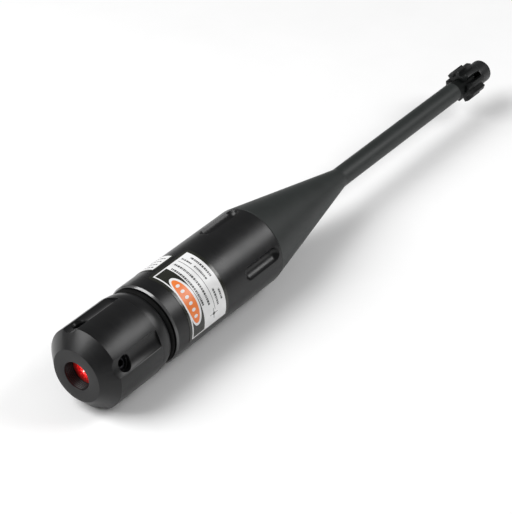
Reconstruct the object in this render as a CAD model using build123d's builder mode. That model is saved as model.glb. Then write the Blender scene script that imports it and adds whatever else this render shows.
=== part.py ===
from build123d import *

import math
import os

# Laser bore sighter.  Millimetres, +X forward along the beam, +Z up.
# The origin is the centre of the laser aperture in the nose face, so every station is a
# negative x.  Azimuths are degrees about +X, from +Y (left) towards +Z (top).

# ---- driving dimensions -------------------------------------------------------------
body_r = 10.5
cap_r = 10.6
nose_face_r = 6.85
nose_chamfer_x = -3.3
aperture_r = 3.65
aperture_depth = 3.0

cap_groove_count = 4
cap_groove_azimuth = 24.0
cap_groove_floor_r = 9.7
cap_groove_cutter_r = 4.6
cap_collar_x = -17.8
cap_collar_r = 10.45
cap_collar_mid = (-20.1, 10.22)
cap_rear_x = -21.7
cap_rear_r = 9.67

aim_x = -6.4
aim_hole_r = 1.75
aim_screw_r = 1.7
aim_pad_r = 1.1

neck_front_x = -15.5
neck_r = 8.6
rim_x = -23.2
rim_r = 10.13
rim_chamfer_x = -23.7
body_rear_x = -63.65

label_front_x = -27.6
label_rear_x = -42.1
label_thickness = 0.08
label_start = -18.0
label_span = 118.0
side_label_front_x = -30.8
side_label_rear_x = -38.8
side_label_start = 105.0
side_label_span = 76.0

body_groove_azimuth = 18.0
body_groove_floor_r = 9.1
body_groove_cutter_r = 1.95
body_groove_front_x = -51.7
body_groove_rear_x = -61.0

stem_x = -102.5
stem_r = 2.7
taper_front_x = -158.7
taper_rear_x = -165.2
pilot_r = 1.95
pilot_rear_x = -168.0

adapter_front_x = -162.6
adapter_root_x = -169.5
adapter_rear_x = -174.4
adapter_tube_r = 3.28
fin_count = 9
fin_azimuth = 25.0
fin_r = 4.7
fin_thickness = 1.2
fin_shoulder_x = -168.9
fin_foot_x = -169.3
slot_count = 3
slot_azimuth = 45.0
slot_width = 1.0

cell_r = 5.8
cell_height = 5.4
cell_count = 3
cell_front_x = -21.2

fit_gap = 0.05
barrel_r = 4.5
barrel_front_x = -5.4
barrel_rear_x = -15.0
pivot_x = -12.3

aim_names = ("left", "top", "right", "bottom")

os.makedirs("parts", exist_ok=True)


def save(part, name):
    """Label one finished piece and write it to its own file."""
    part.label = name
    export_step(part, f"parts/{name}.step")


def radial_plane(x, azimuth, radius=0.0):
    """Sketch plane square to the radius at one azimuth, with its normal pointing outwards."""
    angle = math.radians(azimuth)
    outward = (0, math.cos(angle), math.sin(angle))
    return Plane(
        origin=(x, radius * outward[1], radius * outward[2]), x_dir=(1, 0, 0), z_dir=outward
    )


def fin_plane(azimuth, offset=0.0):
    """Plane through the axis whose local x is +X and whose local y is the radius at an azimuth."""
    angle = math.radians(azimuth)
    sideways = (0, -math.sin(angle), math.cos(angle))
    return Plane(origin=(0, 0, 0), x_dir=(1, 0, 0), z_dir=sideways).offset(offset)


def turned(outline):
    """Solid of revolution about the optical axis from (x, radius) points."""
    with BuildPart() as piece:
        with BuildSketch(Plane.XY):
            with BuildLine():
                Polyline(outline, close=True)
            make_face()
        revolve(axis=Axis.X)
    return piece.part


def tube(x_front, x_rear, inner_r, outer_r):
    """Plain ring or sleeve between two stations."""
    return turned([(x_front, inner_r), (x_front, outer_r), (x_rear, outer_r), (x_rear, inner_r)])


def o_ring(x, ring_r, cord_r):
    """Rubber ring of round section round the optical axis."""
    with BuildPart() as ring:
        with BuildSketch(Plane.XY):
            with Locations((x, ring_r)):
                Circle(cord_r)
        revolve(axis=Axis.X)
    return ring.part


def coil_spring(x_front, length, coil_r, wire_r, pitch):
    """Round-wire compression spring that runs rearwards from its front end."""
    with BuildPart() as spring:
        with BuildLine() as path:
            Helix(pitch, length, coil_r, center=(x_front, 0, 0), direction=(-1, 0, 0))
        with BuildSketch(Plane(origin=path.line @ 0, z_dir=path.line % 0)):
            Circle(wire_r)
        sweep()
    return spring.part


def dome_middle(rim_x, rim_r, crown_x):
    """Half-way point of the spherical arc from a rim to the crown on the axis."""
    rise = crown_x - rim_x
    sphere_r = (rim_r**2 + rise**2) / (2 * abs(rise))
    centre_x = crown_x - math.copysign(sphere_r, rise)
    half_angle = math.asin(rim_r / sphere_r) / 2
    return (
        centre_x + math.copysign(sphere_r, rise) * math.cos(half_angle),
        sphere_r * math.sin(half_angle),
    )


def wrapped_label(x_front, x_rear, start, span):
    """Thin printed foil wrapped round the body between two azimuths."""
    foil_plane = Plane(origin=(0, 0, 0), x_dir=(1, 0, 0), z_dir=(0, 0, 1)).rotated((start, 0, 0))
    with BuildPart() as foil:
        with BuildSketch(foil_plane):
            with BuildLine():
                Polyline(
                    (x_rear, body_r),
                    (x_rear, body_r + label_thickness),
                    (x_front, body_r + label_thickness),
                    (x_front, body_r),
                    close=True,
                )
            make_face()
        revolve(axis=Axis.X, revolution_arc=span)
    return foil.part


# ---- head: cap, window and laser module ---------------------------------------------
window_seat_r = 4.6
window_rear_x = -3.8
window_ring_x = -4.45
window_ring_rear_x = -5.0
window_ring_bore_r = 3.6
front_cavity_r = 5.1
pivot_seat_x = -11.7
pivot_seat_r = 5.6
pivot_cord_r = 0.5
retainer_x = -12.9
retainer_seat_r = 6.6
retainer_rear_x = -14.7
retainer_bore_r = barrel_r + 0.4
socket_x = -15.0
socket_r = neck_r + fit_gap
washer_bore_r = 6.9
washer_r = neck_r - 0.1

with BuildPart() as front_cap:
    with BuildSketch(Plane.XY):
        with BuildLine():
            Polyline(
                (cap_rear_x, socket_r),
                (socket_x, socket_r),
                (socket_x, retainer_seat_r),
                (retainer_x, retainer_seat_r),
                (retainer_x, pivot_seat_r),
                (pivot_seat_x, pivot_seat_r),
                (pivot_seat_x, front_cavity_r),
                (window_ring_rear_x, front_cavity_r),
                (window_ring_rear_x, window_seat_r),
                (-aperture_depth, window_seat_r),
                (-aperture_depth, aperture_r),
                (0, aperture_r),
                (0, nose_face_r),
                (nose_chamfer_x, cap_r),
                (cap_collar_x, cap_r),
                (cap_collar_x, cap_collar_r),
            )
            ThreePointArc((cap_collar_x, cap_collar_r), cap_collar_mid, (cap_rear_x, cap_rear_r))
            Line((cap_rear_x, cap_rear_r), (cap_rear_x, socket_r))
        make_face()
    revolve(axis=Axis.X)
    # Grip grooves open through the nose chamfer and stop at the collar.
    with BuildSketch(Plane.YZ.offset(cap_collar_x)):
        with PolarLocations(
            cap_groove_floor_r + cap_groove_cutter_r, cap_groove_count, cap_groove_azimuth
        ):
            Circle(cap_groove_cutter_r)
    extrude(amount=-cap_collar_x, mode=Mode.SUBTRACT)
    # One tapped hole for an aiming screw in the floor of each groove.
    for turn in range(cap_groove_count):
        with BuildSketch(radial_plane(aim_x, cap_groove_azimuth + 90 * turn)):
            Circle(aim_hole_r)
        extrude(amount=cap_r, mode=Mode.SUBTRACT)
save(front_cap.part, "front_cap")

save(tube(-aperture_depth, window_rear_x, 0, window_seat_r), "window")
window_cord_r = 0.3
window_o_ring_r = 4.2
save(o_ring(window_rear_x - window_cord_r, window_o_ring_r, window_cord_r), "window_o_ring")
save(tube(window_ring_x, window_ring_rear_x, window_ring_bore_r, window_seat_r), "window_ring")

save(o_ring(pivot_x, (barrel_r + pivot_seat_r) / 2, pivot_cord_r), "pivot_o_ring")
save(tube(retainer_x, retainer_rear_x, retainer_bore_r, retainer_seat_r), "module_retainer")
save(tube(socket_x - fit_gap, neck_front_x + fit_gap, washer_bore_r, washer_r), "thrust_washer")

# Laser barrel: lens bore in front, diode pocket behind.
lens_bore_r = 3.6
can_r = 2.1
flange_r = 2.8
web_front_x = -11.5
web_rear_x = -12.9
barrel_chamfer = 0.2
grip_groove_front_x = -8.0
grip_groove_rear_x = -8.6
grip_groove_r = barrel_r - 0.25
save(
    turned(
        [
            (barrel_front_x, lens_bore_r),
            (barrel_front_x, barrel_r - barrel_chamfer),
            (barrel_front_x - barrel_chamfer, barrel_r),
            (grip_groove_front_x, barrel_r),
            (grip_groove_front_x, grip_groove_r),
            (grip_groove_rear_x, grip_groove_r),
            (grip_groove_rear_x, barrel_r),
            (barrel_rear_x, barrel_r),
            (barrel_rear_x, flange_r),
            (web_rear_x, flange_r),
            (web_rear_x, can_r),
            (web_front_x, can_r),
            (web_front_x, lens_bore_r),
        ]
    ),
    "laser_barrel",
)

holder_front_x = -5.7
holder_lip_x = -6.5
holder_rear_x = -8.2
holder_mouth_r = 2.4
lens_r = 2.9
save(
    turned(
        [
            (holder_front_x, holder_mouth_r),
            (holder_front_x, lens_bore_r),
            (holder_rear_x, lens_bore_r),
            (holder_rear_x, lens_r),
            (holder_lip_x, lens_r),
            (holder_lip_x, holder_mouth_r),
        ]
    ),
    "lens_holder",
)

lens_rear_x = -8.0
lens_rim_x = -7.0
lens_crown_x = -6.4
lens_dome_r = 2.3
with BuildPart() as collimating_lens:
    with BuildSketch(Plane.XY):
        with BuildLine():
            Polyline(
                (lens_rear_x, 0), (lens_rear_x, lens_r), (lens_rim_x, lens_r), (lens_rim_x, lens_dome_r)
            )
            ThreePointArc(
                (lens_rim_x, lens_dome_r),
                dome_middle(lens_rim_x, lens_dome_r, lens_crown_x),
                (lens_crown_x, 0),
            )
            Line((lens_crown_x, 0), (lens_rear_x, 0))
        make_face()
    revolve(axis=Axis.X)
save(collimating_lens.part, "collimating_lens")

lens_spring = coil_spring(
    x_front=holder_rear_x - 0.25, length=2.75, coil_r=3.2, wire_r=0.2, pitch=0.9
)
save(lens_spring, "lens_spring")

# Diode can with a window in its cap, on a flange with three legs.
can_front_x = -10.9
can_wall = 0.3
can_window_r = 0.8
flange_rear_x = -14.1
pin_circle_r = 1.27
pin_r = 0.22
pin_length = 0.9
with BuildPart() as laser_diode:
    with BuildSketch(Plane.XY):
        with BuildLine():
            Polyline(
                (can_front_x, can_window_r),
                (can_front_x, can_r),
                (web_rear_x, can_r),
                (web_rear_x, flange_r),
                (flange_rear_x, flange_r),
                (flange_rear_x, 0),
                (web_rear_x, 0),
                (web_rear_x, can_r - can_wall),
                (can_front_x - can_wall, can_r - can_wall),
                (can_front_x - can_wall, can_window_r),
                close=True,
            )
        make_face()
    revolve(axis=Axis.X)
    with BuildSketch(Plane.YZ.offset(flange_rear_x)):
        with PolarLocations(pin_circle_r, 3):
            Circle(pin_r)
    extrude(amount=-pin_length)
save(laser_diode.part, "laser_diode")

# Driver board: a round board with four components on its rear face.
board_r = 5.4
board_rear_x = -15.9
component_circle_r = 4.1
component_width = 1.2
component_length = 2.0
component_height = 0.8
with BuildPart() as driver_board:
    with BuildSketch(Plane.YZ.offset(board_rear_x)):
        Circle(board_r)
    extrude(amount=barrel_rear_x - board_rear_x)
save(driver_board.part, "driver_board")
with BuildPart() as board_components:
    with BuildSketch(Plane.YZ.offset(board_rear_x)):
        with PolarLocations(component_circle_r, 4, 45):
            Rectangle(component_width, component_length)
    extrude(amount=-component_height)
save(board_components.part, "board_components")
contact_spring = coil_spring(
    x_front=board_rear_x - 0.3, length=4.45, coil_r=2.2, wire_r=0.25, pitch=1.1
)
save(contact_spring, "contact_spring")

# Aiming screws: a socket set screw and its nylon tip in each groove.
aim_pad_length = 1.1
aim_screw_foot_r = barrel_r + 1.2
aim_screw_length = 2.7
aim_screw_chamfer = 0.2
hex_socket_r = 0.9
hex_socket_depth = 1.5
for turn, side in enumerate(aim_names):
    azimuth = cap_groove_azimuth + 90 * turn
    with BuildPart() as aim_pad:
        with BuildSketch(radial_plane(aim_x, azimuth, barrel_r + fit_gap)):
            Circle(aim_pad_r)
        extrude(amount=aim_pad_length)
    save(aim_pad.part, f"aim_pad_{side}")
    with BuildPart() as aim_screw:
        with BuildSketch(radial_plane(aim_x, azimuth, aim_screw_foot_r)):
            Circle(aim_screw_r)
        extrude(amount=aim_screw_length)
        chamfer(aim_screw.edges().filter_by(GeomType.CIRCLE), aim_screw_chamfer)
        with BuildSketch(radial_plane(aim_x, azimuth, aim_screw_foot_r + aim_screw_length)):
            RegularPolygon(hex_socket_r, 6)
        extrude(amount=-hex_socket_depth, mode=Mode.SUBTRACT)
    save(aim_screw.part, f"aim_screw_{side}")

# ---- body: tube, seal, cells and labels ---------------------------------------------
sleeve_front_x = -20.6
sleeve_rear_x = -43.6
sleeve_r = 7.5
bulkhead_x = -43.6
spigot_front_x = -55.0
spigot_r = 8.0
spigot_gap = 0.02
neck_chamfer = 0.3
seal_cord_r = 0.7

with BuildPart() as body_tube:
    with BuildSketch(Plane.XY):
        with BuildLine():
            Polyline(
                (neck_front_x, sleeve_r),
                (neck_front_x, neck_r - neck_chamfer),
                (neck_front_x - neck_chamfer, neck_r),
                (rim_x, neck_r),
                (rim_x, rim_r),
                (rim_chamfer_x, body_r),
                (body_rear_x, body_r),
                (body_rear_x, spigot_r),
                (spigot_front_x, spigot_r),
                (spigot_front_x, 0),
                (bulkhead_x, 0),
                (bulkhead_x, sleeve_r),
                close=True,
            )
        make_face()
    revolve(axis=Axis.X)
    # Rear grip grooves, milled with a ball cutter so both ends are round.
    groove_length = body_groove_front_x - body_groove_rear_x
    groove_mid_x = (body_groove_front_x + body_groove_rear_x) / 2
    cutter_height = body_groove_floor_r + body_groove_cutter_r
    for turn in range(cap_groove_count):
        angle = math.radians(body_groove_azimuth + 90 * turn)
        y, z = cutter_height * math.cos(angle), cutter_height * math.sin(angle)
        with Locations((body_groove_front_x, y, z), (body_groove_rear_x, y, z)):
            Sphere(body_groove_cutter_r, mode=Mode.SUBTRACT)
        with Locations((groove_mid_x, y, z)):
            Cylinder(
                body_groove_cutter_r, groove_length, rotation=(0, 90, 0), mode=Mode.SUBTRACT
            )
save(body_tube.part, "body_tube")

save(o_ring((cap_rear_x + rim_x) / 2, neck_r + seal_cord_r, seal_cord_r), "neck_o_ring")
save(tube(sleeve_front_x, sleeve_rear_x, cell_r + 0.1, sleeve_r), "battery_sleeve")

# Button cells: a rolled can with the smaller terminal facing the front.
terminal_r = 4.6
terminal_foot_r = 4.8
terminal_height = 0.5
crimp_r = 5.4
crimp_height = 0.4
cell_corner = 0.2
for number in range(cell_count):
    front_x = cell_front_x - number * cell_height
    rear_x = front_x - cell_height
    save(
        turned(
            [
                (front_x, 0),
                (front_x, terminal_r),
                (front_x - terminal_height, terminal_foot_r),
                (front_x - terminal_height, crimp_r),
                (front_x - terminal_height - crimp_height, cell_r),
                (rear_x + cell_corner, cell_r),
                (rear_x, cell_r - cell_corner),
                (rear_x, 0),
            ]
        ),
        f"battery_{number + 1}",
    )
stack_rear_x = cell_front_x - cell_count * cell_height
battery_spring = coil_spring(
    x_front=stack_rear_x - 0.4, length=5.4, coil_r=4.4, wire_r=0.35, pitch=1.5
)
save(battery_spring, "battery_spring")

save(wrapped_label(label_front_x, label_rear_x, label_start, label_span), "main_label")
save(
    wrapped_label(side_label_front_x, side_label_rear_x, side_label_start, side_label_span),
    "side_label",
)

# ---- arbor: tail cone, stem and the tapered seat for the adapter --------------------
tap_hole_r = 1.25
tap_hole_depth = 10.5
with BuildPart() as arbor:
    with BuildSketch(Plane.XY):
        with BuildLine():
            Polyline(
                (spigot_front_x - spigot_gap, 0),
                (spigot_front_x - spigot_gap, spigot_r - spigot_gap),
                (body_rear_x, spigot_r - spigot_gap),
                (body_rear_x, body_r),
                (stem_x, stem_r),
                (taper_front_x, stem_r),
                (taper_rear_x, pilot_r),
                (pilot_rear_x, pilot_r),
                (pilot_rear_x, 0),
                close=True,
            )
        make_face()
    revolve(axis=Axis.X)
    with BuildSketch(Plane.YZ.offset(pilot_rear_x)):
        Circle(tap_hole_r)
    extrude(amount=tap_hole_depth, mode=Mode.SUBTRACT)
save(arbor.part, "arbor")

# ---- bore adapter: three sprung legs with fins on a plain tube ----------------------
leg_bore_clearance = 0.12
leg_bore_r = pilot_r + leg_bore_clearance
taper_slope = (stem_r - pilot_r) / (taper_front_x - taper_rear_x)
leg_mouth_r = leg_bore_r + (adapter_front_x - taper_rear_x) * taper_slope
fin_root_r = adapter_tube_r - 0.2
fin_corner = 0.3
with BuildPart() as adapter_legs:
    with BuildSketch(Plane.XY):
        with BuildLine():
            Polyline(
                (adapter_front_x, leg_mouth_r),
                (adapter_front_x, adapter_tube_r),
                (adapter_root_x + fit_gap, adapter_tube_r),
                (adapter_root_x + fit_gap, leg_bore_r),
                (taper_rear_x, leg_bore_r),
                close=True,
            )
        make_face()
    revolve(axis=Axis.X)
    for turn in range(fin_count):
        with BuildSketch(fin_plane(fin_azimuth + turn * 360 / fin_count)):
            with BuildLine():
                Polyline(
                    (adapter_front_x, fin_root_r),
                    (adapter_front_x, fin_r - fin_corner),
                    (adapter_front_x - fin_corner, fin_r),
                    (fin_shoulder_x, fin_r),
                    (fin_foot_x, fin_root_r),
                    close=True,
                )
            make_face()
        extrude(amount=fin_thickness / 2, both=True)
    # The slots run from the front end to the root, midway between two fins.
    for turn in range(slot_count):
        with BuildSketch(fin_plane(slot_azimuth + turn * 360 / slot_count)):
            with Locations(((adapter_front_x + adapter_root_x) / 2, fin_r / 2)):
                Rectangle(adapter_front_x - adapter_root_x + 0.1, fin_r + 0.2)
        extrude(amount=slot_width / 2, both=True, mode=Mode.SUBTRACT)

legs = sorted(
    adapter_legs.part.solids(),
    key=lambda solid: math.atan2(solid.center().Z, solid.center().Y) % (2 * math.pi),
)
for number, leg in enumerate(legs):
    save(Part(leg.wrapped), f"adapter_leg_{number + 1}")

screw_r = 1.2
head_r = 2.3
head_front_x = -172.65
washer_front_x = -170.6
seat_rear_x = head_front_x + fit_gap
sleeve_bore_r = pilot_r - 0.35
sleeve_corner = 0.4
head_pocket_r = head_r + 0.15
save(
    turned(
        [
            (adapter_root_x, sleeve_bore_r),
            (adapter_root_x, adapter_tube_r),
            (adapter_rear_x + sleeve_corner, adapter_tube_r),
            (adapter_rear_x, adapter_tube_r - sleeve_corner),
            (adapter_rear_x, head_pocket_r),
            (seat_rear_x, head_pocket_r),
            (washer_front_x, sleeve_bore_r),
        ]
    ),
    "adapter_sleeve",
)
cone_bore_r = screw_r + 0.1
save(
    turned(
        [
            (washer_front_x, cone_bore_r),
            (washer_front_x, sleeve_bore_r),
            (seat_rear_x, head_pocket_r),
            (seat_rear_x, cone_bore_r),
        ]
    ),
    "cone_washer",
)

head_rim_x = -173.5
head_rear_x = -174.8
screw_tip_x = -161.0
screw_point = 0.3
recess_length = 2.4
recess_width = 0.5
recess_depth = 1.4
with BuildPart() as adapter_screw:
    with BuildSketch(Plane.XY):
        with BuildLine():
            Polyline(
                (screw_tip_x, 0),
                (screw_tip_x, screw_r - screw_point),
                (screw_tip_x - screw_point, screw_r),
                (head_front_x, screw_r),
                (head_front_x, head_r),
                (head_rim_x, head_r),
            )
            ThreePointArc(
                (head_rim_x, head_r), dome_middle(head_rim_x, head_r, head_rear_x), (head_rear_x, 0)
            )
            Line((head_rear_x, 0), (screw_tip_x, 0))
        make_face()
    revolve(axis=Axis.X)
    # Cross recess in the domed head.
    with BuildSketch(Plane.YZ.offset(head_rear_x)):
        Rectangle(recess_length, recess_width)
        Rectangle(recess_width, recess_length)
    extrude(amount=recess_depth, mode=Mode.SUBTRACT)
save(adapter_screw.part, "adapter_screw")
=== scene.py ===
import math
import random

import bmesh
import bpy
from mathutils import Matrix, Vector


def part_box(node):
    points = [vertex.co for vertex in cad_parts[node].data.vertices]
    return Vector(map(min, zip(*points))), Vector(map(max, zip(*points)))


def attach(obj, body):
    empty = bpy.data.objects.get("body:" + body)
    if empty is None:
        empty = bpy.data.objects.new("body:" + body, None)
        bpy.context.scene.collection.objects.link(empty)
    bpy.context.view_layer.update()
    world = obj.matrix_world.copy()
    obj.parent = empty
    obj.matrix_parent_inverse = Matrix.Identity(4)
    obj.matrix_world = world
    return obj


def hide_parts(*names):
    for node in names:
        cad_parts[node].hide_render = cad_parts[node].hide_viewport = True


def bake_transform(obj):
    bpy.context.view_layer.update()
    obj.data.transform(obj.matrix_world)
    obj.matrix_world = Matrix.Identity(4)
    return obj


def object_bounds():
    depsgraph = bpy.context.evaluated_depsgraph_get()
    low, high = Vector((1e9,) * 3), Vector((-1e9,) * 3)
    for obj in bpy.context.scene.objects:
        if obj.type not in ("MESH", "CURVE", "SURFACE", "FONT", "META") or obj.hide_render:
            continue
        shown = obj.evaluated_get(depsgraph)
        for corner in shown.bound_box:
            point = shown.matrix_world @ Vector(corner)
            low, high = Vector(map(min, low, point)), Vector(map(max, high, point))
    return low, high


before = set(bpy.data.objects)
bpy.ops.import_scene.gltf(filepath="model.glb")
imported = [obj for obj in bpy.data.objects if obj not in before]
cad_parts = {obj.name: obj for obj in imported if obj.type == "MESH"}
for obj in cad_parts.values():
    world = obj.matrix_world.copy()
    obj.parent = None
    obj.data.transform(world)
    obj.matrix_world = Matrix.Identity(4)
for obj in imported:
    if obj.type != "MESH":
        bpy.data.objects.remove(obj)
cad_low, cad_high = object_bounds()

# Millimetres are easier to read on a tool of this size; every mesh is written in metres.
MM = 0.001
TAU = 2 * math.pi


def station(value):
    """A frame coordinate in millimetres."""
    return value / MM


cap_low, cap_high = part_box("front_cap")
body_low, body_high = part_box("body_tube")
arbor_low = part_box("arbor")[0]
NOSE_X = station(cap_high.x)
CAP_REAR_X = station(cap_low.x)
CAP_R = 10.6
BODY_R = 10.5
BODY_REAR_X = station(body_low.x)
NECK_FRONT_X = station(body_high.x)


# ---- outlines ------------------------------------------------------------------------
def rounded(points, radius, steps=4):
    """Close an (x, r) outline with every corner turned into a small arc."""
    outline = []
    count = len(points)
    for index, corner in enumerate(points):
        here = Vector(corner[:2])
        size = corner[2] if len(corner) > 2 else radius
        before = Vector(points[index - 1][:2]) - here
        after = Vector(points[(index + 1) % count][:2]) - here
        if size <= 0 or before.length < 1e-6 or after.length < 1e-6:
            outline.append(tuple(here))
            continue
        turn = before.angle(after)
        if turn > math.pi - 0.02:
            outline.append(tuple(here))
            continue
        reach = min(size / math.tan(turn / 2), before.length * 0.45, after.length * 0.45)
        arc_r = reach * math.tan(turn / 2)
        middle = (before.normalized() + after.normalized()).normalized()
        centre = here + middle * (arc_r / math.sin(turn / 2))
        start = here + before.normalized() * reach - centre
        end = here + after.normalized() * reach - centre
        sweep = start.angle_signed(end) if start.length > 1e-9 else 0.0
        first = math.atan2(start.y, start.x)
        for step in range(steps + 1):
            angle = first - sweep * step / steps
            outline.append((centre.x + arc_r * math.cos(angle), centre.y + arc_r * math.sin(angle)))
    return outline


# ---- meshes --------------------------------------------------------------------------
def make_object(name, points, faces, material=None, smooth=True):
    """A mesh object from points in millimetres."""
    mesh = bpy.data.meshes.new(name)
    mesh.from_pydata([(x * MM, y * MM, z * MM) for x, y, z in points], [], faces)
    mesh.validate()
    piece = bpy.data.objects.new(name, mesh)
    bpy.context.scene.collection.objects.link(piece)
    face_outwards(mesh)
    if smooth:
        mesh.shade_smooth()
        mesh.set_sharp_from_angle(angle=math.radians(40))
    if material:
        mesh.materials.append(material)
    return piece


def face_outwards(mesh):
    """Point every face of a closed mesh outwards."""
    work = bmesh.new()
    work.from_mesh(mesh)
    bmesh.ops.recalc_face_normals(work, faces=work.faces)
    work.to_mesh(mesh)
    work.free()


def even_azimuths(count=160):
    return [360 * step / count for step in range(count)]


def groove_azimuths(first, half_width, count=4):
    """Azimuths round a grooved barrel, close together at the grooves and sparse between."""
    period = 360 / count
    angles = []
    for groove in range(count):
        centre = first + groove * period
        offset = -period / 2
        while offset < period / 2 - 0.01:
            angles.append(centre + offset)
            offset += 0.6 if abs(offset) < half_width + 2.5 else 1.8
    return angles


def lathe_mesh(outline, azimuths, radius_at=None):
    """Points and faces of a closed outline turned about the beam axis."""
    points, rings = [], []
    for x, r in outline:
        if r < 1e-5:
            rings.append([len(points)])
            points.append((x, 0, 0))
            continue
        ring = []
        for azimuth in azimuths:
            radius = radius_at(x, r, azimuth) if radius_at else r
            angle = math.radians(azimuth)
            ring.append(len(points))
            points.append((x, radius * math.cos(angle), radius * math.sin(angle)))
        rings.append(ring)
    faces = []
    for ring, following in zip(rings, rings[1:] + rings[:1]):
        wide = max(len(ring), len(following))
        if wide == 1:
            continue
        for index in range(wide):
            after = (index + 1) % wide
            corners = [ring[index % len(ring)], ring[after % len(ring)]]
            corners += [following[after % len(following)], following[index % len(following)]]
            faces.append([c for n, c in enumerate(corners) if c not in corners[:n]])
    return points, faces


def lathe(name, outline, material, azimuths=None, radius_at=None):
    points, faces = lathe_mesh(outline, azimuths or even_azimuths(), radius_at)
    return make_object(name, points, faces, material)


def soft_min(a, b, blend):
    """Smaller of two radii with the edge between them eased over a small width."""
    overlap = max(blend - abs(a - b), 0) / blend
    return min(a, b) - overlap * overlap * blend / 4


def groove_radius(azimuth, first, centre_r, cutter_r, count=4):
    """Radius of a round-bottomed groove at an azimuth, or None outside it."""
    period = 360 / count
    offset = (azimuth - first + period / 2) % period - period / 2
    angle = math.radians(offset)
    reach = cutter_r**2 - (centre_r * math.sin(angle)) ** 2
    if reach <= 0 or abs(offset) > 40:
        return None
    return centre_r * math.cos(angle) - math.sqrt(reach)


def boolean(target, tool, operation):
    """Apply one boolean to a mesh object and drop the tool."""
    modifier = target.modifiers.new("boolean", "BOOLEAN")
    modifier.object = tool
    modifier.operation = operation
    modifier.solver = "EXACT"
    freeze(target)
    bpy.data.objects.remove(tool)


def freeze(piece):
    """Replace an object's mesh by what its modifiers make of it."""
    graph = bpy.context.evaluated_depsgraph_get()
    mesh = bpy.data.meshes.new_from_object(piece.evaluated_get(graph))
    piece.modifiers.clear()
    piece.data = mesh


def bevel_edges(piece, width, segments=2, angle=35, clamp=True):
    """Round the sharp edges of a hard piece by a width in millimetres."""
    modifier = piece.modifiers.new("bevel", "BEVEL")
    modifier.width = width * MM
    modifier.segments = segments
    modifier.limit_method = "ANGLE"
    modifier.angle_limit = math.radians(angle)
    modifier.use_clamp_overlap = clamp
    modifier.miter_outer = "MITER_ARC"
    freeze(piece)
    piece.data.shade_smooth()
    piece.data.set_sharp_from_angle(angle=math.radians(40))


def box_points(low, high):
    (x0, y0, z0), (x1, y1, z1) = low, high
    points = [(x, y, z) for x in (x0, x1) for y in (y0, y1) for z in (z0, z1)]
    faces = [(0, 1, 3, 2), (4, 6, 7, 5), (0, 4, 5, 1), (2, 3, 7, 6), (0, 2, 6, 4), (1, 5, 7, 3)]
    return points, faces


def about_axis(point, azimuth):
    """Turn a point given as (x, radial, sideways) to its place at an azimuth."""
    x, radial, sideways = point
    angle = math.radians(azimuth)
    return (
        x,
        radial * math.cos(angle) - sideways * math.sin(angle),
        radial * math.sin(angle) + sideways * math.cos(angle),
    )


def prism(name, outline, thickness, azimuth):
    """Plate standing on the axis: an (x, r) outline with a thickness across its azimuth."""
    count = len(outline)
    points = [
        about_axis((x, r, side * thickness / 2), azimuth)
        for side in (-1, 1)
        for x, r in outline
    ]
    faces = [list(range(count)), list(range(2 * count - 1, count - 1, -1))]
    faces += [(i, (i + 1) % count, count + (i + 1) % count, count + i) for i in range(count)]
    return make_object(name, points, faces, smooth=False)


def cad_copy(name, node, body, material, bevel=0.0, segments=2):
    """A finished piece with the CAD node's own shape, cleaned up and given rounded edges."""
    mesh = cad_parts[node].data.copy()
    work = bmesh.new()
    work.from_mesh(mesh)
    bmesh.ops.remove_doubles(work, verts=work.verts, dist=2e-7)
    bmesh.ops.dissolve_limit(
        work, angle_limit=math.radians(0.6), verts=work.verts, edges=work.edges
    )
    bmesh.ops.recalc_face_normals(work, faces=work.faces)
    work.to_mesh(mesh)
    work.free()
    mesh.materials.clear()
    mesh.materials.append(material)
    piece = bpy.data.objects.new(name, mesh)
    bpy.context.scene.collection.objects.link(piece)
    mesh.shade_smooth()
    mesh.set_sharp_from_angle(angle=math.radians(35))
    if bevel:
        bevel_edges(piece, bevel, segments)
    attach(piece, body)
    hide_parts(node)
    return piece


def finish_piece(piece, body, *nodes, slot=None):
    """Fix a new piece to its CAD body and hide the CAD nodes it stands for."""
    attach(piece, body)
    if nodes:
        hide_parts(*nodes)
    return piece


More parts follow.
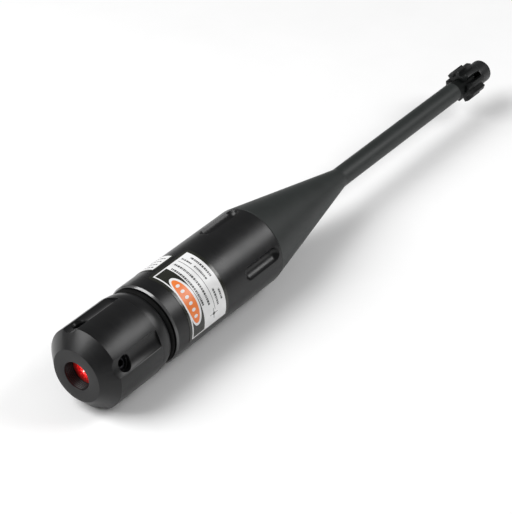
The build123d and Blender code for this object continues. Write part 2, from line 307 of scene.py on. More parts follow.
# ---- materials -----------------------------------------------------------------------
class Surface:
    """One procedural material under construction."""

    def __init__(self, name):
        self.material = bpy.data.materials.new(name)
        self.material.use_nodes = True
        self.tree = self.material.node_tree
        self.shader = self.tree.nodes["Principled BSDF"]
        self.place = self.add("ShaderNodeTexCoord").outputs["Object"]

    def add(self, kind, inputs=None, **settings):
        node = self.tree.nodes.new(kind)
        for key, value in settings.items():
            setattr(node, key, value)
        for key, value in (inputs or {}).items():
            if isinstance(value, bpy.types.NodeSocket):
                self.tree.links.new(value, node.inputs[key])
            else:
                node.inputs[key].default_value = value
        return node

    def math(self, operation, *values):
        node = self.add("ShaderNodeMath", dict(enumerate(values)), operation=operation)
        return node.outputs[0]

    def noise(self, vector, scale, detail=3.0, roughness=0.55):
        inputs = {"Vector": vector, "Scale": scale, "Detail": detail, "Roughness": roughness}
        return self.add("ShaderNodeTexNoise", inputs).outputs["Fac"]

    def ramp(self, value, low, high, to_low, to_high):
        """Rescale a value from one range to another, clamped."""
        inputs = {"Value": value, 1: low, 2: high, 3: to_low, 4: to_high}
        return self.add("ShaderNodeMapRange", inputs, clamp=True).outputs[0]

    def colour(self, value, stops):
        node = self.add("ShaderNodeValToRGB", {"Fac": value})
        elements = node.color_ramp.elements
        while len(elements) < len(stops):
            elements.new(0.5)
        for element, (position, rgb) in zip(elements, stops):
            element.position = position
            element.color = (*rgb, 1.0)
        return node.outputs["Color"]

    def spread(self, value):
        """One value on all three channels."""
        return self.add("ShaderNodeCombineXYZ", {0: value, 1: value, 2: value}).outputs[0]

    def axis_parts(self):
        """Distance along the tool, radius, and the unit direction away from its axis."""
        split = self.add("ShaderNodeSeparateXYZ", {"Vector": self.place})
        x, y, z = split.outputs
        radius = self.math("SQRT", self.math("ADD", self.math("MULTIPLY", y, y), self.math("MULTIPLY", z, z)))
        safe = self.math("MAXIMUM", radius, 1e-5)
        return x, radius, self.math("DIVIDE", y, safe), self.math("DIVIDE", z, safe)

    def turned_lines(self, per_mm, swirl=1.5):
        """Noise drawn out into the rings that a lathe tool leaves."""
        x, radius, side, up = self.axis_parts()
        along = self.math("MULTIPLY", self.math("ADD", x, radius), per_mm / MM)
        vector = self.add(
            "ShaderNodeCombineXYZ",
            {0: along, 1: self.math("MULTIPLY", side, swirl), 2: self.math("MULTIPLY", up, swirl)},
        ).outputs[0]
        return self.noise(vector, 1.0, 2.0, 0.6)

    def bump(self, height, strength, distance_mm):
        node = self.add(
            "ShaderNodeBump", {"Height": height, "Strength": strength, "Distance": distance_mm * MM}
        )
        self.link(node.outputs["Normal"], "Normal")

    def link(self, value, socket):
        self.tree.links.new(value, self.shader.inputs[socket])

    def set(self, **values):
        for key, value in values.items():
            self.shader.inputs[key.replace("_", " ")].default_value = value


def turned_black(
    name, dark, light, low_rough, high_rough, lines=5.0, depth=0.004, aniso=0.45, specular=0.34, tip_x=None
):
    """Black anodised aluminium with fine lathe rings and faint handling marks."""
    surface = Surface(name)
    rings = surface.turned_lines(lines)
    blotches = surface.noise(surface.place, 140.0, 4.0, 0.6)
    specks = surface.noise(surface.place, 2600.0, 2.0, 0.5)
    rings_share = surface.math("MULTIPLY", rings, 0.4)
    tone = surface.math("ADD", rings_share, surface.math("MULTIPLY", blotches, 0.6))
    shade = surface.colour(tone, [(0.3, dark), (0.7, light)])
    if tip_x is not None:
        # Behind this station the seat is darkened to nearly black and its gloss lowered.
        x = surface.axis_parts()[0]
        share = surface.ramp(x, (tip_x - 0.3) * MM, tip_x * MM, 0.28, 1.0)
        factors = {0: shade, 1: surface.spread(share)}
        darker = surface.add("ShaderNodeVectorMath", factors, operation="MULTIPLY")
        shade = darker.outputs[0]
        gloss = surface.ramp(x, (tip_x - 0.3) * MM, tip_x * MM, 0.1, specular)
        surface.link(gloss, "Specular IOR Level")
    surface.link(shade, "Base Color")
    blotches_share = surface.math("MULTIPLY", blotches, 0.65)
    worn = surface.math("ADD", blotches_share, surface.math("MULTIPLY", rings, 0.35))
    surface.link(surface.ramp(worn, 0.3, 0.7, low_rough, high_rough), "Roughness")
    height = surface.math("ADD", rings, surface.math("MULTIPLY", specks, 0.5))
    surface.bump(height, 0.5, depth)
    tangent = surface.add("ShaderNodeTangent", direction_type="RADIAL", axis="X").outputs[0]
    surface.link(tangent, "Tangent")
    surface.set(Metallic=0.0, Anisotropic=aniso, Specular_IOR_Level=specular)
    return surface.material


def moulded(name, dark, light, low_rough, high_rough, grain=1500.0, depth=0.01, specular=0.5):
    """Plastic or rubber with a fine moulded grain."""
    surface = Surface(name)
    blotches = surface.noise(surface.place, 220.0, 4.0, 0.6)
    texture = surface.noise(surface.place, grain, 3.0, 0.6)
    surface.link(surface.colour(blotches, [(0.3, dark), (0.7, light)]), "Base Color")
    surface.link(surface.ramp(texture, 0.3, 0.7, low_rough, high_rough), "Roughness")
    surface.bump(texture, 0.35, depth)
    surface.set(Specular_IOR_Level=specular)
    return surface.material


def bare_metal(name, dark, light, low_rough, high_rough, lines=6.0, depth=0.003):
    """Turned or drawn bare metal."""
    surface = Surface(name)
    rings = surface.turned_lines(lines)
    stains = surface.noise(surface.place, 300.0, 4.0, 0.6)
    surface.link(surface.colour(stains, [(0.3, dark), (0.75, light)]), "Base Color")
    surface.link(surface.ramp(rings, 0.25, 0.75, low_rough, high_rough), "Roughness")
    surface.bump(rings, 0.4, depth)
    surface.set(Metallic=1.0)
    return surface.material


ANODISED = turned_black(
    "anodised_head", (0.004, 0.004, 0.0044), (0.008, 0.0082, 0.0086), 0.26, 0.38, lines=5.0, specular=0.31
)
SATIN = turned_black(
    "satin_arbor", (0.013, 0.0155, 0.0148), (0.02, 0.0235, 0.0225), 0.4, 0.52,
    lines=3.0, depth=0.003, aniso=0.25, tip_x=-158.8,
)
# Lighter copy of the anodised finish for the body's front chamfer: a painted highlight.
RIM_PAINTED_HIGHLIGHT = turned_black(
    "rim_painted_highlight", (0.03, 0.03, 0.031), (0.07, 0.07, 0.07), 0.14, 0.24, lines=6.0, depth=0.002, specular=0.95
)
RUBBER = moulded("seal_rubber", (0.002, 0.002, 0.002), (0.004, 0.004, 0.004), 0.65, 0.85, specular=0.12)
PLASTIC = moulded(
    "adapter_nylon", (0.004, 0.0045, 0.0045), (0.009, 0.0098, 0.01), 0.34, 0.48, depth=0.008, specular=0.3
)
LINER = moulded("liner_plastic", (0.02, 0.02, 0.02), (0.035, 0.035, 0.035), 0.4, 0.6)
NYLON = moulded("tip_nylon", (0.6, 0.59, 0.55), (0.75, 0.74, 0.7), 0.35, 0.5)
BRASS = bare_metal("turned_brass", (0.6, 0.4, 0.15), (0.8, 0.58, 0.27), 0.2, 0.35)
GOLD = bare_metal("gold_plate", (0.75, 0.52, 0.2), (0.9, 0.68, 0.32), 0.15, 0.3)
NICKEL = bare_metal("nickel_plate", (0.5, 0.49, 0.46), (0.68, 0.67, 0.64), 0.18, 0.3)
CHROME = bare_metal("bright_chrome", (0.62, 0.63, 0.65), (0.8, 0.81, 0.83), 0.08, 0.18, depth=0.001)
BLACK_OXIDE = bare_metal("black_oxide", (0.02, 0.02, 0.022), (0.05, 0.05, 0.055), 0.3, 0.5)
BOARD = moulded("board_green", (0.01, 0.07, 0.02), (0.02, 0.11, 0.04), 0.25, 0.4)
CHIP = moulded("chip_black", (0.01, 0.01, 0.01), (0.03, 0.03, 0.03), 0.4, 0.6)


def print_layer(name, dark, light, rough):
    """Printed vinyl ink: nearly even colour with a slight mottle and gloss variation."""
    return moulded(name, dark, light, rough, rough + 0.12, grain=900.0, depth=0.002)


LABEL_BLACK = print_layer("ink_black", (0.008, 0.0085, 0.006), (0.018, 0.019, 0.013), 0.18)
LABEL_WHITE = print_layer("ink_white", (0.72, 0.72, 0.72), (0.86, 0.86, 0.86), 0.3)
LABEL_ORANGE = print_layer("ink_orange", (0.78, 0.16, 0.02), (0.9, 0.24, 0.05), 0.3)
LABEL_GREY = print_layer("ink_grey", (0.02, 0.02, 0.02), (0.05, 0.05, 0.05), 0.35)


def lit_glass():
    """Coated window lit from behind by the red beam, with speckle and a hot centre."""
    surface = Surface("lit_window")
    x, radius, side, up = surface.axis_parts()
    speckle = surface.noise(surface.place, 2600.0, 2.0, 0.7)
    glow = surface.ramp(radius, 0.35 * MM, 3.3 * MM, 1.1, 0.05)
    mixed = surface.math("MULTIPLY", glow, surface.ramp(speckle, 0.35, 0.65, 0.3, 1.2))
    tint = surface.colour(
        mixed,
        [
            (0.08, (0.16, 0.0, 0.003)),
            (0.45, (0.8, 0.008, 0.012)),
            (0.78, (1.0, 0.05, 0.045)),
            (1.0, (1.0, 0.62, 0.58)),
        ],
    )
    surface.link(tint, "Emission Color")
    surface.link(surface.math("MULTIPLY", mixed, 2.0), "Emission Strength")
    surface.link(surface.colour(speckle, [(0.3, (0.3, 0.01, 0.01)), (0.7, (0.5, 0.03, 0.02))]), "Base Color")
    surface.link(surface.ramp(speckle, 0.3, 0.7, 0.05, 0.12), "Roughness")
    return surface.material


WINDOW_GLASS = lit_glass()

# ---- front cap -----------------------------------------------------------------------
COLLAR_X = -17.8
GROOVE_AZIMUTH = 24.0
GROOVE_CENTRE_R = 14.3
GROOVE_CUTTER_R = 4.6
GROOVE_BEVEL = 0.06
AHEAD_OF_NOSE_X = 2.0
APERTURE_R = 3.65
AIM_X = -6.4
AIM_HOLE_R = 1.75
BORE_RINGS = 5
BORE_RING_FIRST_X = -2.65
BORE_RING_PITCH = 0.48
BORE_RING_DEPTH = 0.13
NECK_R = 8.6


def arc_points(start, middle, end, count):
    """Points strictly between the ends of a circular arc through three points."""
    (ax, ay), (bx, by), (cx, cy) = start, middle, end
    d = 2 * (ax * (by - cy) + bx * (cy - ay) + cx * (ay - by))
    a, b, c = ax**2 + ay**2, bx**2 + by**2, cx**2 + cy**2
    ux = (a * (by - cy) + b * (cy - ay) + c * (ay - by)) / d
    uy = (a * (cx - bx) + b * (ax - cx) + c * (bx - ax)) / d
    first = math.atan2(ay - uy, ax - ux)
    last = math.atan2(cy - uy, cx - ux)
    size = math.hypot(ax - ux, ay - uy)
    return [
        (ux + size * math.cos(turn), uy + size * math.sin(turn))
        for turn in (first + (last - first) * i / count for i in range(1, count))
    ]


def groove_cutter(azimuth):
    """Rod that cuts one grip groove from the nose back to the collar."""
    points, faces = lathe_mesh(
        [
            (AHEAD_OF_NOSE_X, 0.0),
            (AHEAD_OF_NOSE_X, GROOVE_CUTTER_R),
            (COLLAR_X, GROOVE_CUTTER_R),
            (COLLAR_X, 0.0),
        ],
        even_azimuths(144),
    )
    placed = [about_axis((x, GROOVE_CENTRE_R + a, b), azimuth) for x, a, b in points]
    return make_object("groove_cutter", placed, faces)


def cap_azimuths():
    """Columns round the cap, kept clear of the four pairs of groove edges."""
    inside = [-10.5 + 1.5 * step for step in range(15)]
    outside = [13.0 + 64.0 * step / 46 for step in range(47)]
    return [GROOVE_AZIMUTH + 90 * turn + offset for turn in range(4) for offset in inside + outside]


def make_front_cap():
    collar_arc = arc_points((COLLAR_X, 10.45), (-20.1, 10.22), (CAP_REAR_X, 9.67), 10)
    outline = [
        (NOSE_X, APERTURE_R, 0.14),
        (NOSE_X, 6.85, 0.12),
        (-3.3, CAP_R, 0.1),
        (COLLAR_X, CAP_R, 0.06),
        (COLLAR_X, 10.45, 0.03),
        *[(x, r, 0) for x, r in collar_arc],
        (CAP_REAR_X, 9.67, 0.15),
        (CAP_REAR_X, NECK_R + 0.05, 0.15),
        (-15.0, NECK_R + 0.05),
        (-15.0, 6.6),
        (-12.9, 6.6),
        (-12.9, 5.6),
        (-11.7, 5.6),
        (-11.7, 5.1),
        (-5.0, 5.1),
        (-5.0, 4.6),
        (-3.0, 4.6),
        (-3.0, APERTURE_R, 0.04),
    ]
    # Fine rings turned into the wall of the aperture.
    for step in range(BORE_RINGS):
        x = BORE_RING_FIRST_X + BORE_RING_PITCH * step
        outline += [
            (x, APERTURE_R, 0),
            (x + 0.14, APERTURE_R + BORE_RING_DEPTH, 0),
            (x + 0.28, APERTURE_R, 0),
        ]
    cap = lathe("front_cap_shell", rounded(outline, 0.05), ANODISED, cap_azimuths())
    for turn in range(4):
        boolean(cap, groove_cutter(GROOVE_AZIMUTH + 90 * turn), "DIFFERENCE")
    bevel_edges(cap, GROOVE_BEVEL, segments=2, angle=34, clamp=False)
    for turn in range(4):
        cutter = aim_cutter(GROOVE_AZIMUTH + 90 * turn)
        boolean(cap, cutter, "DIFFERENCE")
    cap.data.shade_smooth()
    cap.data.set_sharp_from_angle(angle=math.radians(40))
    finish_piece(cap, "head", "front_cap")


def aim_cutter(azimuth):
    """Tapped hole as a solid: a plain rod with thread ridges and a countersunk mouth."""
    profile = [(4.9, 0.0), (4.9, AIM_HOLE_R)]
    height = 5.4
    while height < 8.9:
        ridge_r = AIM_HOLE_R + 0.17
        profile += [(height, AIM_HOLE_R), (height + 0.2, ridge_r), (height + 0.3, ridge_r)]
        height += 0.5
    mouth_r = AIM_HOLE_R + 0.3
    profile += [(9.3, AIM_HOLE_R), (9.45, AIM_HOLE_R), (9.9, mouth_r), (12.0, mouth_r), (12.0, 0.0)]
    points, faces = lathe_mesh(profile, even_azimuths(40))
    angle = math.radians(azimuth)
    placed = []
    for h, a, b in points:
        placed.append(
            (AIM_X + a, h * math.cos(angle) - b * math.sin(angle), h * math.sin(angle) + b * math.cos(angle))
        )
    return make_object("aim_cutter", placed, faces)


make_front_cap()

# ---- body tube -----------------------------------------------------------------------
BODY_GROOVE_AZIMUTH = 18.0
BODY_GROOVE_CENTRE_R = 11.05
BODY_GROOVE_CUTTER_R = 1.95
BODY_GROOVE_FRONT_X = -51.7
BODY_GROOVE_REAR_X = -61.0
THREAD_PITCH = 0.75
THREAD_DEPTH = 0.22
RIM_FRONT_X = -23.2
RIM_REAR_X = -23.76
RIM_LOW_R = 10.15


def body_radius(x, r, azimuth):
    """Outer surface of the body: grip grooves at the rear and a thread on the neck."""
    if NECK_FRONT_X - 0.5 > x > -21.6 and abs(r - NECK_R) < 0.01:
        phase = (x / THREAD_PITCH - azimuth / 360) % 1.0
        rise = min((NECK_FRONT_X - 0.5 - x) / 0.6, (x + 21.6) / 0.6, 1.0)
        return r - THREAD_DEPTH * rise * min(1.0, max(0.0, 1.5 - abs(phase - 0.5) * 4))
    if r < 10.4 or x > -48.0:
        return r
    beyond = max(x - BODY_GROOVE_FRONT_X, BODY_GROOVE_REAR_X - x, 0.0)
    if beyond >= BODY_GROOVE_CUTTER_R:
        return r
    cutter_r = math.sqrt(BODY_GROOVE_CUTTER_R**2 - beyond**2)
    groove = groove_radius(azimuth, BODY_GROOVE_AZIMUTH, BODY_GROOVE_CENTRE_R, cutter_r)
    return r if groove is None else soft_min(r, groove, 0.08)


def make_body_tube():
    outline = rounded(
        [
            (NECK_FRONT_X, 7.5),
            (NECK_FRONT_X, NECK_R - 0.3),
            (NECK_FRONT_X - 0.3, NECK_R, 0),
            (-23.2, NECK_R),
            (-23.2, 10.13, 0.05),
            (-23.7, BODY_R, 0.08),
            (BODY_REAR_X, BODY_R, 0.15),
            (BODY_REAR_X, 8.0),
            (-55.0, 8.0),
            (-55.0, 0.0, 0),
            (-43.6, 0.0, 0),
            (-43.6, 7.5),
        ],
        0.1,
    )
    result = []
    for (x0, r0), (x1, r1) in zip(outline, outline[1:] + outline[:1]):
        result.append((x0, r0))
        flat = abs(r0 - r1) < 1e-6
        if not flat or r0 < 8.5:
            continue
        spacing = 0.07 if r0 < 9 else 0.2 if min(x0, x1) < -60 else 6.0
        count = int(abs(x1 - x0) / spacing)
        result += [(x0 + (x1 - x0) * step / count, r0) for step in range(1, count)]
    azimuths = groove_azimuths(BODY_GROOVE_AZIMUTH, 9.8)
    body = lathe("body_tube_shell", result, ANODISED, azimuths, body_radius)
    # The chamfer at the front edge gets a lighter, glossier copy of the finish: a painted highlight.
    body.data.materials.append(RIM_PAINTED_HIGHLIGHT)
    for face in body.data.polygons:
        x, y, z = (part / MM for part in face.center)
        if RIM_REAR_X < x < RIM_FRONT_X and math.hypot(y, z) > RIM_LOW_R:
            face.material_index = 1
    finish_piece(body, "body", "body_tube")


make_body_tube()

SEAL_X = -22.45
SEAL_R = 9.3
SEAL_SECTION_R = 0.7
seal = lathe(
    "neck_seal",
    [
        (SEAL_X + SEAL_SECTION_R * math.cos(TAU * i / 20), SEAL_R + SEAL_SECTION_R * math.sin(TAU * i / 20))
        for i in range(20)
    ],
    RUBBER,
)
finish_piece(seal, "body", "neck_o_ring")

# ---- arbor ---------------------------------------------------------------------------
TIP_X = station(arbor_low.x)
TAPER_FRONT_X = -158.7
TAPER_REAR_X = -165.2


def make_arbor():
    outline = rounded(
        [
            (-55.0, 0.0, 0),
            (-55.0, 8.0),
            (BODY_REAR_X, 8.0),
            (BODY_REAR_X, BODY_R, 0.12),
            (-102.5, 2.7, 6.0),
            (TAPER_FRONT_X, 2.7, 0.3),
            (TAPER_REAR_X, 1.95, 0.3),
            (TIP_X, 1.95, 0.2),
            (TIP_X, 1.25, 0.1),
            (-157.5, 1.25, 0),
            (-157.5, 0.0, 0),
        ],
        0.05,
        steps=8,
    )
    arbor = lathe("arbor_turning", outline, SATIN, even_azimuths(192))
    finish_piece(arbor, "body", "arbor")


make_arbor()

# ---- labels --------------------------------------------------------------------------
LABEL_R = 10.58
INK_STEP = 0.006


def wrap(x, azimuth, layer):
    """Point on the body's printed surface; each ink layer stands a hair above the last."""
    radius = LABEL_R + INK_STEP * layer
    angle = math.radians(azimuth)
    return (x, radius * math.cos(angle), radius * math.sin(angle))


def ink_patch(name, front_x, rear_x, start, end, layer, material):
    """Rectangle of ink between two stations and two azimuths."""
    steps = max(1, math.ceil(end - start))
    points, faces = [], []
    for step in range(steps + 1):
        azimuth = start + (end - start) * step / steps
        points += [wrap(front_x, azimuth, layer), wrap(rear_x, azimuth, layer)]
    for step in range(steps):
        faces.append((2 * step, 2 * step + 2, 2 * step + 3, 2 * step + 1))
    return make_ink(name, points, faces, material)


def make_ink(name, points, faces, material):
    """Thin sheet whose faces look away from the body."""
    mesh = bpy.data.meshes.new(name)
    mesh.from_pydata([(x * MM, y * MM, z * MM) for x, y, z in points], [], faces)
    piece = bpy.data.objects.new(name, mesh)
    bpy.context.scene.collection.objects.link(piece)
    first = mesh.polygons[0]
    if first.normal.dot(Vector((0, first.center.y, first.center.z))) < 0:
        mesh.flip_normals()
    mesh.shade_smooth()
    mesh.materials.append(material)
    return finish_piece(piece, "body", slot="label_foil")


def ink_oval(name, x, azimuth, half_x, half_azimuth, layer, material, squareness=1.0):
    """Oval of ink; a squareness below one fills its corners out."""
    segments, rings = 72, max(2, math.ceil(half_azimuth / 1.2))
    points, faces = [wrap(x, azimuth, layer)], []
    for ring in range(1, rings + 1):
        for segment in range(segments):
            angle = TAU * segment / segments
            across = math.copysign(abs(math.cos(angle)) ** squareness, math.cos(angle))
            along = math.copysign(abs(math.sin(angle)) ** squareness, math.sin(angle))
            share = ring / rings
            points.append(wrap(x + half_x * share * across, azimuth + half_azimuth * share * along, layer))
    for segment in range(segments):
        after = (segment + 1) % segments
        faces.append((0, 1 + segment, 1 + after))
        for ring in range(rings - 1):
            inner = 1 + ring * segments
            outer = inner + segments
            faces.append((inner + segment, outer + segment, outer + after, inner + after))
    return make_ink(name, points, faces, material)


def label_base(name, node):
    """The vinyl itself: a thin curved sheet with rounded corners, standing for the CAD node."""
    low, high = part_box(node)
    mesh_points = [v.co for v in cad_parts[node].data.vertices]
    turns = [math.degrees(math.atan2(p.z, p.y)) for p in mesh_points]
    turns = [turn + 360 if turn < -90 else turn for turn in turns]
    front_x, rear_x = station(high.x), station(low.x)
    start, end = min(turns), max(turns)
    corner = 0.6
    steps = math.ceil(end - start)
    outer, inner = [], []
    for step in range(steps + 1):
        azimuth = start + (end - start) * step / steps
        edge = min(azimuth - start, end - azimuth) * math.radians(1) * LABEL_R
        inset = corner - math.sqrt(max(corner**2 - max(corner - edge, 0) ** 2, 0))
        for x in (front_x - inset, rear_x + inset):
            angle = math.radians(azimuth)
            outer.append((x, LABEL_R * math.cos(angle), LABEL_R * math.sin(angle)))
            inner.append((x, 10.49 * math.cos(angle), 10.49 * math.sin(angle)))
    count = len(outer)
    faces = []
    for step in range(steps):
        a, b, c, d = 2 * step, 2 * step + 2, 2 * step + 3, 2 * step + 1
        faces += [(a, b, c, d), (count + d, count + c, count + b, count + a)]
        faces += [(a, count + a, count + b, b), (d, c, count + c, count + d)]
    faces += [(0, 1, count + 1, count), (count - 2, 2 * count - 2, 2 * count - 1, count - 1)]
    piece = make_object(name, outer + inner, faces, LABEL_BLACK)
    finish_piece(piece, "body", node)


def make_main_label():
    label_base("main_label_vinyl", "main_label")
    start, end = -13.5, 95.5
    line = 0.36
    turn_per_mm = 1 / math.radians(LABEL_R)
    ink_patch("label_frame", -28.5, -41.1, start, end, 1, LABEL_WHITE)
    inset = line * turn_per_mm
    ink_patch("label_band", -28.5 - line, -33.0, start + inset, end - inset, 2, LABEL_BLACK)
    ink_oval("oval_border", -30.6, 40.2, 2.25, 36.6, 3, LABEL_WHITE, 0.92)
    ink_oval("oval_field", -30.5, 40.2, 1.72, 32.8, 4, LABEL_ORANGE, 0.92)
    for index in range(6):
        ink_oval(f"oval_mark_{index + 1}", -30.45, 17.5 + 9.1 * index, 0.62, 2.2, 5, LABEL_WHITE)
    # Four rows of short bars and a thin rule in place of small print.
    chance = random.Random(7)
    rows = [
        (-33.65, 23.0, 88.0, 0.62),
        (-35.45, 18.5, 92.0, 0.62),
        (-38.3, 11.0, 34.0, 0.58),
        (-38.3, 48.0, 71.0, 0.54),
        (-38.3, 76.0, 92.0, 0.5),
        (-39.9, 15.0, 30.0, 0.56),
        (-39.9, 48.0, 84.0, 0.58),
    ]
    for number, (x, low, high, height) in enumerate(rows):
        azimuth = low
        bar = 0
        while azimuth < high:
            width = chance.uniform(1.1, 3.4)
            bar += 1
            ink_patch(
                f"row_{number + 1}_bar_{bar}", x + height / 2, x - height / 2,
                azimuth, min(azimuth + width, high), 2, LABEL_GREY,
            )
            azimuth += width + chance.uniform(0.5, 1.0)
    ink_patch("label_rule", -36.98, -37.12, 7.5, 92.0, 2, LABEL_GREY)
    # Small cross-hair mark at the near end of the panel.
    ink_oval("mark_dot", -36.5, 3.0, 0.42, 2.3, 3, LABEL_GREY)
    ink_patch("mark_line_a", -35.1, -37.9, 2.6, 3.4, 2, LABEL_GREY)
    ink_patch("mark_line_b", -36.42, -36.58, -4.6, 10.6, 2, LABEL_GREY)


def make_side_label():
    label_base("side_label_vinyl", "side_label")
    ink_patch("side_panel", -31.3, -38.3, 108.5, 178.0, 1, LABEL_WHITE)
    chance = random.Random(11)
    for row, x in enumerate((-32.4, -33.9, -35.4, -36.9)):
        azimuth, bar = 113.0, 0
        while azimuth < 172.0:
            width = chance.uniform(2.0, 7.0)
            bar += 1
            ink_patch(
                f"side_row_{row + 1}_bar_{bar}", x + 0.22, x - 0.22,
                azimuth, min(azimuth + width, 173.0), 2, LABEL_GREY,
            )
            azimuth += width + chance.uniform(1.0, 2.2)


make_main_label()
make_side_label()

# ---- bore adapter --------------------------------------------------------------------
ADAPTER_FRONT_X = -162.6
ADAPTER_ROOT_X = -169.5
ADAPTER_REAR_X = -174.4
ADAPTER_TUBE_R = 3.28
LEG_SEAM_X = -170.3
LEG_BORE_R = 2.07
SLEEVE_BORE_R = 1.6
HEAD_POCKET_R = 2.45
FIN_SHOULDER_X = -168.9
FIN_FOOT_X = -169.3
FIN_FOOT_R = 3.1
FIN_COUNT = 9
LEG_AZIMUTHS = {1: 105.0, 2: 225.0, 3: 345.0}
AHEAD_OF_ADAPTER_X = -150.0
FIN_R = 4.7
FIN_AZIMUTH = 25.0
FIN_THICKNESS = 1.2
SLOT_AZIMUTH = 45.0
SLOT_WIDTH = 1.16


def make_adapter():
    """One moulded plug, cut into a rear tube and three legs split apart by slots."""
    tube = rounded(
        [
            (ADAPTER_FRONT_X, 2.37),
            (ADAPTER_FRONT_X, ADAPTER_TUBE_R),
            (ADAPTER_REAR_X, ADAPTER_TUBE_R, 0.55),
            (ADAPTER_REAR_X, HEAD_POCKET_R, 0.1),
            (-172.6, HEAD_POCKET_R),
            (-170.6, SLEEVE_BORE_R),
            (ADAPTER_ROOT_X, SLEEVE_BORE_R, 0),
            (ADAPTER_ROOT_X, LEG_BORE_R, 0),
            (TAPER_REAR_X, LEG_BORE_R),
        ],
        0.08,
    )
    plug = lathe("adapter_plug", tube, PLASTIC, even_azimuths(96))
    fin_outline = rounded(
        [
            (ADAPTER_FRONT_X, FIN_FOOT_R, 0),
            (ADAPTER_FRONT_X, FIN_R, 0.35),
            (FIN_SHOULDER_X, FIN_R, 0.3),
            (FIN_FOOT_X, FIN_FOOT_R, 0),
        ],
        0.1,
    )
    for turn in range(FIN_COUNT):
        fin = prism("fin", fin_outline, FIN_THICKNESS, FIN_AZIMUTH + 360 * turn / FIN_COUNT)
        boolean(plug, fin, "UNION")
    slot_outline = [
        (AHEAD_OF_ADAPTER_X, 0.3),
        (AHEAD_OF_ADAPTER_X, 7.0),
        (ADAPTER_ROOT_X, 7.0),
        (ADAPTER_ROOT_X, 0.3),
    ]
    for turn in range(3):
        cut = prism("slot", slot_outline, SLOT_WIDTH, SLOT_AZIMUTH + 120 * turn)
        boolean(plug, cut, "DIFFERENCE")
    bevel_edges(plug, 0.07)
    for number, azimuth in LEG_AZIMUTHS.items():
        leg = plug.copy()
        leg.data = plug.data.copy()
        leg.name = f"adapter_leg_{number}_moulding"
        bpy.context.scene.collection.objects.link(leg)
        boolean(leg, leg_wedge(azimuth), "INTERSECT")
        leg.data.shade_smooth()
        leg.data.set_sharp_from_angle(angle=math.radians(40))
        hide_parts(f"adapter_leg_{number}")
        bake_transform(leg)
    keep = make_object("rear_block", *box_points((-180, -8, -8), (LEG_SEAM_X, 8, 8)), smooth=False)
    boolean(plug, keep, "INTERSECT")
    plug.data.shade_smooth()
    plug.data.set_sharp_from_angle(angle=math.radians(40))
    plug.name = "adapter_tube_moulding"
    finish_piece(plug, "adapter", "adapter_sleeve")


def leg_wedge(azimuth):
    """Block that takes in a third of the adapter, from its front to the seam behind the slots."""
    points = []
    for x in (LEG_SEAM_X, AHEAD_OF_ADAPTER_X):
        points.append((x, 0.0, 0.0))
        for offset, reach in ((-60, 8.0), (0, 12.0), (60, 8.0)):
            points.append(about_axis((x, reach, 0.0), azimuth + offset))
    faces = [(0, 3, 2, 1), (4, 5, 6, 7), (0, 1, 5, 4), (1, 2, 6, 5), (2, 3, 7, 6), (3, 0, 4, 7)]
    return make_object("wedge", points, faces, smooth=False)


make_adapter()
cad_copy("adapter_screw_plated", "adapter_screw", "screw", CHROME, bevel=0.06)
cad_copy("cone_washer_turned", "cone_washer", "adapter", BLACK_OXIDE, bevel=0.05)

# ---- inner pieces --------------------------------------------------------------------
for side in ("left", "top", "right", "bottom"):
    cad_copy(f"aim_screw_{side}_socket", f"aim_screw_{side}", f"aim_{side}", BLACK_OXIDE, bevel=0.05)
finish_piece(
    lathe(
        "window_pane",
        rounded([(-3.0, 0.0, 0), (-3.0, 4.58, 0.1), (-3.8, 4.58, 0.1), (-3.8, 0.0, 0)], 0.1),
        WINDOW_GLASS,
        even_azimuths(96),
    ),
    "head",
    "window",
)


PIVOT_FLATTENING = 0.14


def make_pivot_ring():
    """Seat of the laser module, drawn a little flattened, as it is when squeezed."""
    low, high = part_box("pivot_o_ring")
    centre_x = (station(low.x) + station(high.x)) / 2
    section_r = abs(station(high.x) - station(low.x)) / 2
    ring_r = high.y / MM - section_r
    points = 24
    outline = [
        (
            centre_x + (section_r - PIVOT_FLATTENING) * math.cos(TAU * step / points),
            ring_r + section_r * math.sin(TAU * step / points),
        )
        for step in range(points)
    ]
    finish_piece(lathe("pivot_ring_seat", outline, RUBBER), "pivot", "pivot_o_ring")


make_pivot_ring()

INNER_MATERIALS = {
    "window_o_ring": RUBBER,
    "window_ring": ANODISED,
    "module_retainer": LINER,
    "thrust_washer": NYLON,
    "laser_barrel": BRASS,
    "lens_holder": BRASS,
    "collimating_lens": WINDOW_GLASS,
    "lens_spring": NICKEL,
    "laser_diode": GOLD,
    "driver_board": BOARD,
    "board_components": CHIP,
    "contact_spring": NICKEL,
    "battery_sleeve": LINER,
    "battery_spring": NICKEL,
    "battery_1": NICKEL,
    "battery_2": NICKEL,
    "battery_3": NICKEL,
    "aim_pad_left": NYLON,
    "aim_pad_top": NYLON,
    "aim_pad_right": NYLON,
    "aim_pad_bottom": NYLON,
}
for node, material in INNER_MATERIALS.items():
    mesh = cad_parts[node].data
    mesh.materials.clear()
    mesh.materials.append(material)

# ---- stage, light and camera ---------------------------------------------------------
FLOOR_Z = cad_low.z


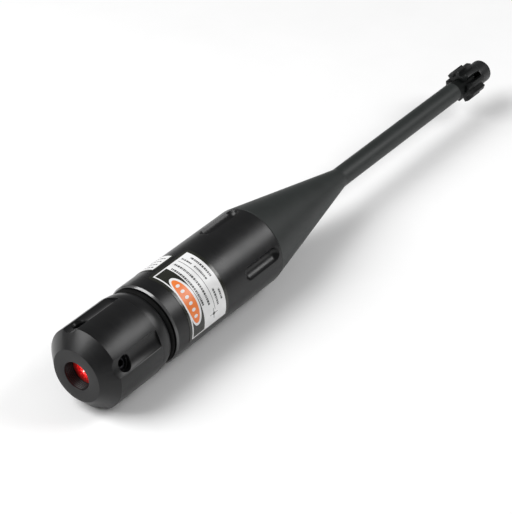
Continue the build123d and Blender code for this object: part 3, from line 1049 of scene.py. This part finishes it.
def make_floor():
    surface = Surface("pale_paper")
    mottle = surface.noise(surface.place, 30.0, 4.0, 0.6)
    surface.link(surface.colour(mottle, [(0.3, (0.92, 0.92, 0.92)), (0.7, (0.94, 0.94, 0.94))]), "Base Color")
    surface.link(surface.ramp(mottle, 0.3, 0.7, 0.7, 0.8), "Roughness")
    mesh = bpy.data.meshes.new("floor")
    half = 6.0
    corners = [(-half, -half, FLOOR_Z), (half, -half, FLOOR_Z), (half, half, FLOOR_Z), (-half, half, FLOOR_Z)]
    mesh.from_pydata(corners, [], [(0, 1, 2, 3)])
    mesh.materials.append(surface.material)
    floor = bpy.data.objects.new("floor", mesh)
    bpy.context.scene.collection.objects.link(floor)


def area_light(name, direction, distance, width, height, power, target=(-0.07, 0, 0)):
    """Soft box in a direction from the tool, facing it."""
    lamp = bpy.data.lights.new(name, "AREA")
    lamp.shape = "RECTANGLE"
    lamp.size, lamp.size_y = width, height
    lamp.energy = power
    holder = bpy.data.objects.new(name, lamp)
    aim = Vector(direction).normalized()
    holder.location = Vector(target) + aim * distance
    holder.rotation_mode = "QUATERNION"
    holder.rotation_quaternion = aim.to_track_quat("Z", "Y")
    bpy.context.scene.collection.objects.link(holder)


def make_light():
    world = bpy.data.worlds.new("soft_studio")
    world.use_nodes = True
    background = world.node_tree.nodes["Background"]
    background.inputs["Color"].default_value = (1.0, 1.0, 1.0, 1.0)
    background.inputs["Strength"].default_value = 0.22
    bpy.context.scene.world = world
    area_light("key_left", (0.542, -0.454, 0.707), 0.6, 0.42, 0.42, 3.9)
    area_light("strip_right", (-0.555, 0.537, 0.636), 0.6, 0.3, 0.26, 1.7)


def make_camera():
    camera = bpy.data.cameras.new("view")
    camera.sensor_width = 36.0
    camera.lens = 124.85
    camera.clip_start, camera.clip_end = 0.01, 20.0
    holder = bpy.data.objects.new("view", camera)
    holder.location = (0.22362, 0.21968, 0.25346)
    looking = Vector((-0.65042, -0.49193, -0.57875))
    holder.rotation_mode = "QUATERNION"
    holder.rotation_quaternion = (-looking).to_track_quat("Z", "Y")
    bpy.context.scene.collection.objects.link(holder)
    bpy.context.scene.camera = holder


make_floor()
make_light()
make_camera()
bpy.context.scene.view_settings.view_transform = "Standard"
